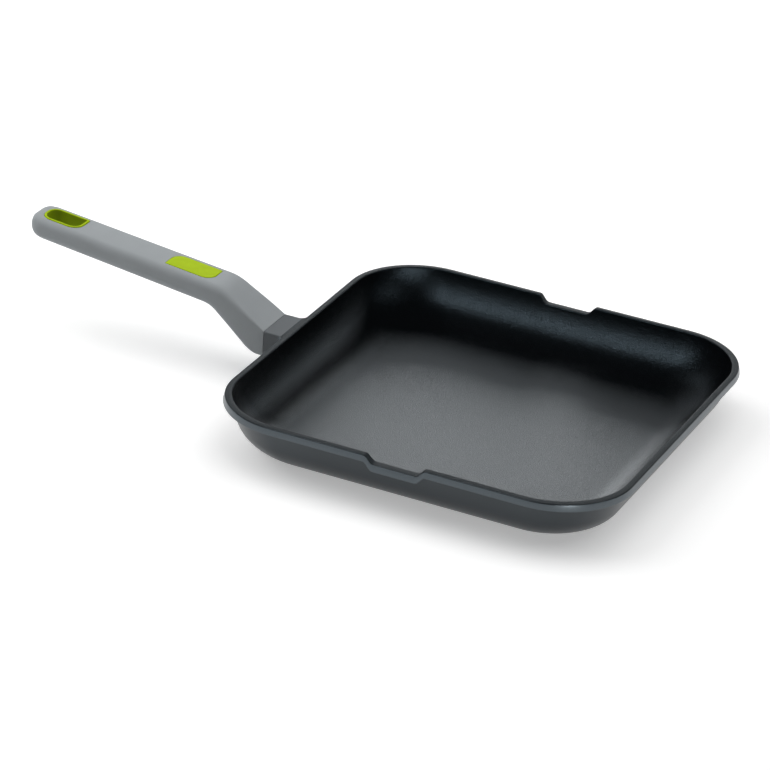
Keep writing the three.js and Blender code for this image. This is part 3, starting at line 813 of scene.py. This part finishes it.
def settings(context):
    """The pan's, handle's and finishes' settings."""
    return context.scene.griddle_pan, context.scene.griddle_handle, context.scene.griddle_finish


def screw_z():
    """Height of the screw's axis."""
    return (SCREW_LOW.z + SCREW_HIGH.z) / 2


class GRIDDLE_OT_casting(bpy.types.Operator):
    """Model the cast pan with its boss and its base studs"""
    bl_idname = "griddle.casting"
    bl_label = "Casting"

    def execute(self, context):
        pan, handle, finish = settings(context)
        piece = pan_shell(pan)
        face = HANDLE_HIGH.x + pan.gap
        cut(piece, boss(pan, handle), "UNION")
        cut(piece, block_along_x(
            PAN_LOW.x, face + PAST, handle.spigot_width, handle.spigot_height, screw_z()), "UNION")
        cut(piece, bar_along_x(
            handle.screw_radius + pan.gap, PAN_LOW.x - PAST, SCREW_HIGH.x + MM, screw_z()))
        cut(piece, hole_grid(pan, pan.hole_radius - pan.gap, 0, PLATE_HIGH.z + PAST), "UNION")
        smooth(piece)
        lacquer = baked_lacquer("baked_lacquer", finish.lacquer, 0.7)
        # The band's lacquer is glossier, and its lighter tint is painted light.
        band = baked_lacquer("band_lacquer_painted_light", finish.band, 1.0)
        coating = nonstick_coating("nonstick_coating", finish.coating, 0.28, 0.5)
        rim = nonstick_coating("nonstick_coating_rim", finish.rim, 0.6, 0.3)
        matt = boss_paint(finish)
        stud = bare_metal("ground_aluminium", tuple(finish.aluminium), 0.6, (1, 0.1, 1), 0.35)
        finish_piece(piece, "pan_body", "pan_coating", lacquer, coating, stud, matt, band, rim)
        self.paint(piece, pan)
        return {"FINISHED"}

    def paint(self, piece, pan):
        """Gives the faces their finishes. The outside that is left keeps its lacquer."""
        bow, cove = inner_arcs(pan)
        profile = bow + cove[1:]
        rim_width = pan.wall / math.cos(pan.taper) + pan.band_depth
        rim_low = pan.height - pan.notch_depth - pan.band_edge
        band_low = pan.height - pan.notch_depth - pan.band_height
        for face in piece.data.polygons:
            x, y, z = face.center
            size = next((own for own, height in profile if height <= z), profile[-1][0])
            radius = corner_radius(pan, size)
            past = math.hypot(max(abs(x) - size + radius, 0), max(abs(y) - size + radius, 0)) - radius
            inwards = face.normal.x * x + face.normal.y * y < TINY
            if past < rim_width and face.normal.z > RIM_LEVEL and z > rim_low:
                face.material_index = RIM
            elif past < NOTCH_SLACK and inwards and z > pan.floor - 2 * STEP:
                face.material_index = COATING
            elif abs(z) < TINY and max(abs(x), abs(y)) < PLATE_HIGH.x:
                face.material_index = STUD
            elif x < -pan.half - MM:
                face.material_index = BOSS
            # The band's faces get the lighter lacquer, whose tint is painted light.
            elif past > rim_width - pan.band_depth / 2 and face.normal.z > -HALF_WAY and z > band_low:
                face.material_index = BAND_PAINTED_LIGHT


class GRIDDLE_OT_base_plate(bpy.types.Operator):
    """Model the perforated steel plate in the base"""
    bl_idname = "griddle.base_plate"
    bl_label = "Base plate"

    def execute(self, context):
        pan, _, finish = settings(context)
        edge = 0.15 * MM
        profile = ((-edge, 0), (0, edge), (0, PLATE_HIGH.z - edge), (-edge, PLATE_HIGH.z))
        side = 2 * PLATE_HIGH.x
        plate = leaf_piece("base_plate", side, side, [pan.plate_corner] * 4, profile)
        cut(plate, hole_grid(pan, pan.hole_radius, -PAST, PLATE_HIGH.z + PAST))
        smooth(plate)
        steel = bare_metal("ground_steel", tuple(finish.steel), 0.5, (0.05, 1, 1), 0.34)
        finish_piece(plate, "induction_plate", "base_steel", steel)
        return {"FINISHED"}


class GRIDDLE_OT_handle(bpy.types.Operator):
    """Model the handle with its socket, counterbore, hanging hole and badge pocket"""
    bl_idname = "griddle.handle"
    bl_label = "Handle"

    def execute(self, context):
        pan, handle, finish = settings(context)
        piece = handle_shell(pan, handle)
        face = HANDLE_HIGH.x + PAST
        seat = FLAT_HIGH.x + pan.gap
        z = screw_z()
        room = 2 * pan.gap
        cut(piece, block_along_x(
            PAN_LOW.x - pan.gap, face, handle.spigot_width + room, handle.spigot_height + room, z))
        cut(piece, bar_along_x(handle.screw_radius + pan.gap, seat - PAST, face, z))
        cut(piece, bar_along_x(handle.seat_radius, HANDLE_HIGH.x - handle.lower_bend_run, seat, z))
        depth = liner_depth(pan, handle)
        hole = leaf_piece(
            "hanging_hole", handle.liner_length, handle.liner_width, LINER_RADII,
            ((pan.gap, -depth - handle.tip_edge), (pan.gap, handle.liner_lip + PAST)))
        on_grip(pan, handle, hole, liner_run(handle))
        cut(piece, hole)
        bottom = handle.badge_rise - handle.badge_thickness - pan.gap
        pocket = leaf_piece(
            "badge_pocket", handle.badge_length, handle.badge_width, BADGE_RADII,
            ((pan.gap, bottom), (pan.gap, handle.badge_rise + PAST)))
        on_grip(pan, handle, pocket, handle.badge_from_joint)
        cut(piece, pocket)
        smooth(piece)
        finish_piece(piece, "handle_body", "handle_grey", soft_touch_paint(finish))
        return {"FINISHED"}


class GRIDDLE_OT_liner(bpy.types.Operator):
    """Model the liner of the hanging hole with its beaded lip"""
    bl_idname = "griddle.liner"
    bl_label = "Hanging hole liner"

    def execute(self, context):
        pan, handle, finish = settings(context)
        low = handle.liner_short - liner_depth(pan, handle)
        lip = handle.liner_lip
        wall = handle.liner_wall
        profile = [(0, low)]
        for i in range(EDGE_SEGMENTS + 1):
            turn = math.pi * i / EDGE_SEGMENTS
            profile.append((-wall / 2 * (1 - math.cos(turn)), lip * math.sin(turn)))
        profile.append((-wall, low + STEP))
        piece = leaf_piece(
            "hang_liner", handle.liner_length, handle.liner_width, LINER_RADII, profile, ring=True)
        on_grip(pan, handle, piece, liner_run(handle))
        lime = lime_plastic("lime_nylon_lip", finish.lime)
        # The bore's darker lime is painted shade inside the hanging hole.
        bore = lime_plastic("lime_nylon_bore_painted_shade", finish.bore)
        finish_piece(piece, "hang_loop_liner", "lime_plastic", lime, bore)
        self.paint(pan, handle, piece)
        return {"FINISHED"}

    def paint(self, pan, handle, piece):
        """Gives the bore below the lip its darker lime, which is painted shade where little light gets into
        the hole.
        """
        run = liner_run(handle)
        middle = Vector((HANDLE_HIGH.x - run, 0, top_z(pan, handle, run)))
        for face in piece.data.polygons:
            from_axis = face.center - middle
            inwards = from_axis.x * face.normal.x + from_axis.y * face.normal.y < 0
            if inwards and abs(face.normal.z) < HALF_WAY:
                face.material_index = PAINTED_SHADE_BORE


class GRIDDLE_OT_badge(bpy.types.Operator):
    """Model the bare badge that is let into the grip"""
    bl_idname = "griddle.badge"
    bl_label = "Badge"

    def execute(self, context):
        pan, handle, finish = settings(context)
        top = handle.badge_rise
        edge = 0.35 * MM
        profile = [(0, top - handle.badge_thickness)]
        for i in range(EDGE_SEGMENTS // 2 + 1):
            turn = math.pi / 2 * i / (EDGE_SEGMENTS // 2)
            profile.append((-edge * (1 - math.cos(turn)), top - edge + edge * math.sin(turn)))
        profile.append((-2 * edge, top + STEP))
        piece = leaf_piece("badge", handle.badge_length, handle.badge_width, BADGE_RADII, profile)
        on_grip(pan, handle, piece, handle.badge_from_joint)
        finish_piece(piece, "badge_inlay", "lime_plastic", lime_plastic("lime_nylon_badge", finish.lime))
        return {"FINISHED"}


def turned_piece(name, profile, z, ring=False):
    """A piece turned on a lathe about the screw's axis, from a profile of places along X and radii."""
    piece = start_piece(name)
    outlines = []
    for x, radius in profile:
        bpy.ops.mesh.select_all(action="DESELECT")
        bpy.ops.mesh.primitive_circle_add(
            vertices=ROUND_SIDES, radius=radius, location=(x, 0, z), rotation=(0, math.pi / 2, 0))
        outlines.append(number_outline(piece))
    end_piece(piece, outlines, ring)
    return piece


class GRIDDLE_OT_screw(bpy.types.Operator):
    """Model the handle's screw with its rounded head and cross recess"""
    bl_idname = "griddle.screw"
    bl_label = "Handle screw"

    def execute(self, context):
        pan, handle, finish = settings(context)
        z = screw_z()
        head = SCREW_HIGH.z - z
        shank = handle.screw_radius
        under = SPRING_LOW.x - pan.gap
        top = SCREW_LOW.x
        edge = 0.9 * MM
        point = 0.6 * MM
        slot_long, slot_wide, slot_deep = 5 * MM, 1.1 * MM, 2 * MM
        profile = [(top, head - edge)]
        for degrees in (30, 60, 90):
            turn = math.radians(degrees)
            profile.append((top + edge * (1 - math.cos(turn)), head - edge + edge * math.sin(turn)))
        profile += [(under, head), (under + STEP, shank)]
        profile += [(SCREW_HIGH.x - MM, shank), (SCREW_HIGH.x, shank - point)]
        piece = turned_piece("handle_screw_turned", profile, z)
        for width, height in ((slot_long, slot_wide), (slot_wide, slot_long)):
            cut(piece, block_along_x(top - PAST, top + slot_deep, width, height, z))
        smooth(piece)
        zinc = bare_metal("zinc_plate_screw", tuple(finish.zinc), 0.4, (1, 1, 1), 0.3)
        finish_piece(piece, "handle_screw", "fastener_steel", zinc)
        return {"FINISHED"}


class GRIDDLE_OT_washers(bpy.types.Operator):
    """Model the flat washer and the split spring washer"""
    bl_idname = "griddle.washers"
    bl_label = "Washers"

    def execute(self, context):
        pan, handle, finish = settings(context)
        zinc = bare_metal("zinc_plate_washer", tuple(finish.zinc), 0.4, (1, 1, 1), 0.36)
        bore = handle.screw_radius + pan.gap
        flat = self.washer("flat_washer_turned", FLAT_LOW.x, FLAT_HIGH.x, FLAT_HIGH.y, bore)
        finish_piece(flat, "flat_washer", "fastener_steel", zinc)
        spring = self.washer("spring_washer_turned", SPRING_LOW.x, SPRING_HIGH.x, SPRING_HIGH.y, bore)
        split = MM
        split_z = screw_z() + SPRING_HIGH.y
        cut(spring, block_along_x(SPRING_LOW.x - MM, SPRING_HIGH.x + MM, split, 2 * SPRING_HIGH.y, split_z))
        smooth(spring)
        finish_piece(spring, "spring_washer", "fastener_steel", zinc)
        return {"FINISHED"}

    def washer(self, name, low, high, radius, bore):
        """A flat ring with eased edges."""
        edge = 0.15 * MM
        profile = (
            (low + STEP, bore + edge), (low, radius - edge), (low + edge, radius),
            (high - edge, radius), (high, radius - edge), (high - STEP, bore + edge),
            (high - edge, bore), (low + edge, bore))
        return turned_piece(name, profile, screw_z(), ring=True)


class GRIDDLE_OT_studio(bpy.types.Operator):
    """Set the floor, the lamps, the world and the camera"""
    bl_idname = "griddle.studio"
    bl_label = "Studio"

    def execute(self, context):
        studio = context.scene.griddle_studio
        self.floor(studio)
        self.lamps()
        self.world(context)
        self.camera(context, studio)
        context.scene.view_settings.view_transform = "Standard"
        return {"FINISHED"}

    def floor(self, studio):
        """A wide pale floor that keeps the pan's shadow and shows as white to the camera."""
        bpy.ops.object.select_all(action="DESELECT")
        bpy.ops.mesh.primitive_plane_add(size=FLOOR_SIZE, location=(0, 0, -FLOOR_DROP))
        floor = bpy.context.object
        floor.name = "studio_floor"
        material, tree = start_material("studio_floor_paint")
        light_path = add_node(tree, "ShaderNodeLightPath").outputs
        seen = add_node(tree, "ShaderNodeMath", {
            0: light_path["Is Camera Ray"], 1: light_path["Is Glossy Ray"]}, operation="MAXIMUM")
        glow = add_node(tree, "ShaderNodeMath", {
            0: seen.outputs[0], 1: studio.floor_glow}, operation="MULTIPLY")
        shader = add_node(tree, "ShaderNodeBsdfPrincipled", {
            "Base Color": (*studio.floor_colour, 1), "Roughness": 0.9, "Specular IOR Level": 0.0,
            "Emission Color": (1, 1, 1, 1), "Emission Strength": glow.outputs[0]})
        show(tree, shader)
        floor.data.materials.append(material)

    def lamps(self):
        """Two large softboxes light the matt finishes and the floor; small ones are seen in reflections."""
        aim = Vector((0, 0, 0.02))
        # Each has a name, a place, a width, a height, a power in watts, and whether it is seen in reflections
        boxes = (
            ("overhead_softbox", (0.5, 0.6, 1.9), 3.0, 3.0, 36, False),
            ("left_softbox", (-1.6, -0.1, 1.5), 2.0, 2.0, 28, False),
            ("back_softbox", (-0.58, 1.45, 0.40), 0.7, 0.35, 4.1, True),
            ("back_high_softbox", (-0.73, 1.18, 0.82), 1.0, 0.5, 2.2, True),
            ("back_left_softbox", (-1.25, 0.34, 0.96), 0.5, 0.3, 0.8, True),
            ("back_right_softbox", (0.53, 1.45, 0.43), 0.7, 0.3, 1.4, True),
            ("front_softbox", (-0.49, -1.16, 1.0), 0.5, 0.2, 5.4, True),
            ("right_softbox", (1.36, 0, 0.87), 0.5, 0.2, 1.0, True),
            ("front_right_softbox", (1.07, -1.19, 0.12), 0.4, 0.2, 7, True),
        )
        for name, place, wide, tall, power, mirrored in boxes:
            bpy.ops.object.light_add(type="AREA", location=place)
            lamp = bpy.context.object
            lamp.name = name
            lamp.visible_glossy = mirrored
            lamp.visible_diffuse = not mirrored
            lamp.data.shape = "RECTANGLE"
            lamp.data.size = wide
            lamp.data.size_y = tall
            lamp.data.energy = power
            lamp.rotation_euler = (aim - Vector(place)).to_track_quat("-Z", "Y").to_euler()

    def world(self, context):
        """A dim even room, darker in reflections, and white where the camera sees past the floor."""
        world = bpy.data.worlds.new("studio_room")
        context.scene.world = world
        world.use_nodes = True
        tree = world.node_tree
        tree.nodes.clear()
        light_path = add_node(tree, "ShaderNodeLightPath").outputs
        room = add_node(tree, "ShaderNodeMapRange", {
            "Value": light_path["Is Glossy Ray"], "To Min": ROOM_LIGHT, "To Max": ROOM_MIRRORED})
        strength = add_node(tree, "ShaderNodeMath", {
            0: room.outputs["Result"], 1: light_path["Is Camera Ray"]}, operation="MAXIMUM")
        light = add_node(tree, "ShaderNodeBackground", {
            "Color": (1, 1, 1, 1), "Strength": strength.outputs[0]})
        add_node(tree, "ShaderNodeOutputWorld", {"Surface": light.outputs["Background"]})

    def camera(self, context, studio):
        """The photograph's viewpoint: a long lens, with the pan to the right of the middle."""
        across, along = math.cos(studio.azimuth), math.sin(studio.azimuth)
        flat = math.cos(studio.elevation)
        back = Vector((along * flat, -across * flat, math.sin(studio.elevation)))
        level = Vector((across, along, 0))
        upright = back.cross(level)
        right = math.cos(studio.roll) * level + math.sin(studio.roll) * upright
        up = math.cos(studio.roll) * upright - math.sin(studio.roll) * level
        aim = Vector((0, 0, PAN_HIGH.z)) - studio.pan_right * right - studio.pan_up * up
        bpy.ops.object.camera_add()
        camera = bpy.context.object
        camera.name = "studio_camera"
        turn = Matrix((right, up, back)).transposed().to_4x4()
        camera.matrix_world = Matrix.Translation(aim + studio.distance * back) @ turn
        camera.data.lens = studio.lens
        camera.data.sensor_width = SENSOR_WIDTH
        camera.data.clip_end = CAMERA_REACH
        context.scene.camera = camera


class GRIDDLE_PT_sidebar(bpy.types.Panel):
    """Lists the pan's pieces and settings"""
    bl_idname = "GRIDDLE_PT_sidebar"
    bl_label = "Griddle pan"
    bl_space_type = "VIEW_3D"
    bl_region_type = "UI"
    bl_category = "Griddle pan"

    def draw(self, context):
        for operator in OPERATORS:
            self.layout.operator(operator.bl_idname)
        for name in GROUPS:
            group = getattr(context.scene, name)
            for field in group.__annotations__:
                self.layout.prop(group, field)


OPERATORS = (
    GRIDDLE_OT_casting,
    GRIDDLE_OT_base_plate,
    GRIDDLE_OT_handle,
    GRIDDLE_OT_liner,
    GRIDDLE_OT_badge,
    GRIDDLE_OT_screw,
    GRIDDLE_OT_washers,
    GRIDDLE_OT_studio,
)
GROUPS = {
    "griddle_pan": PanSettings,
    "griddle_handle": HandleSettings,
    "griddle_finish": FinishSettings,
    "griddle_studio": StudioSettings,
}


def register():
    """Adds the settings, operators and panel."""
    for name, group in GROUPS.items():
        bpy.utils.register_class(group)
        setattr(bpy.types.Scene, name, bpy.props.PointerProperty(type=group))
    for kind in (*OPERATORS, GRIDDLE_PT_sidebar):
        bpy.utils.register_class(kind)


def unregister():
    """Takes them away again."""
    for kind in (GRIDDLE_PT_sidebar, *reversed(OPERATORS)):
        bpy.utils.unregister_class(kind)
    for name, group in GROUPS.items():
        delattr(bpy.types.Scene, name)
        bpy.utils.unregister_class(group)


def main():
    """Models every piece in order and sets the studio."""
    register()
    bpy.ops.griddle.casting()
    bpy.ops.griddle.base_plate()
    bpy.ops.griddle.handle()
    bpy.ops.griddle.liner()
    bpy.ops.griddle.badge()
    bpy.ops.griddle.screw()
    bpy.ops.griddle.washers()
    bpy.ops.griddle.studio()


if __name__ == "__main__":
    main()
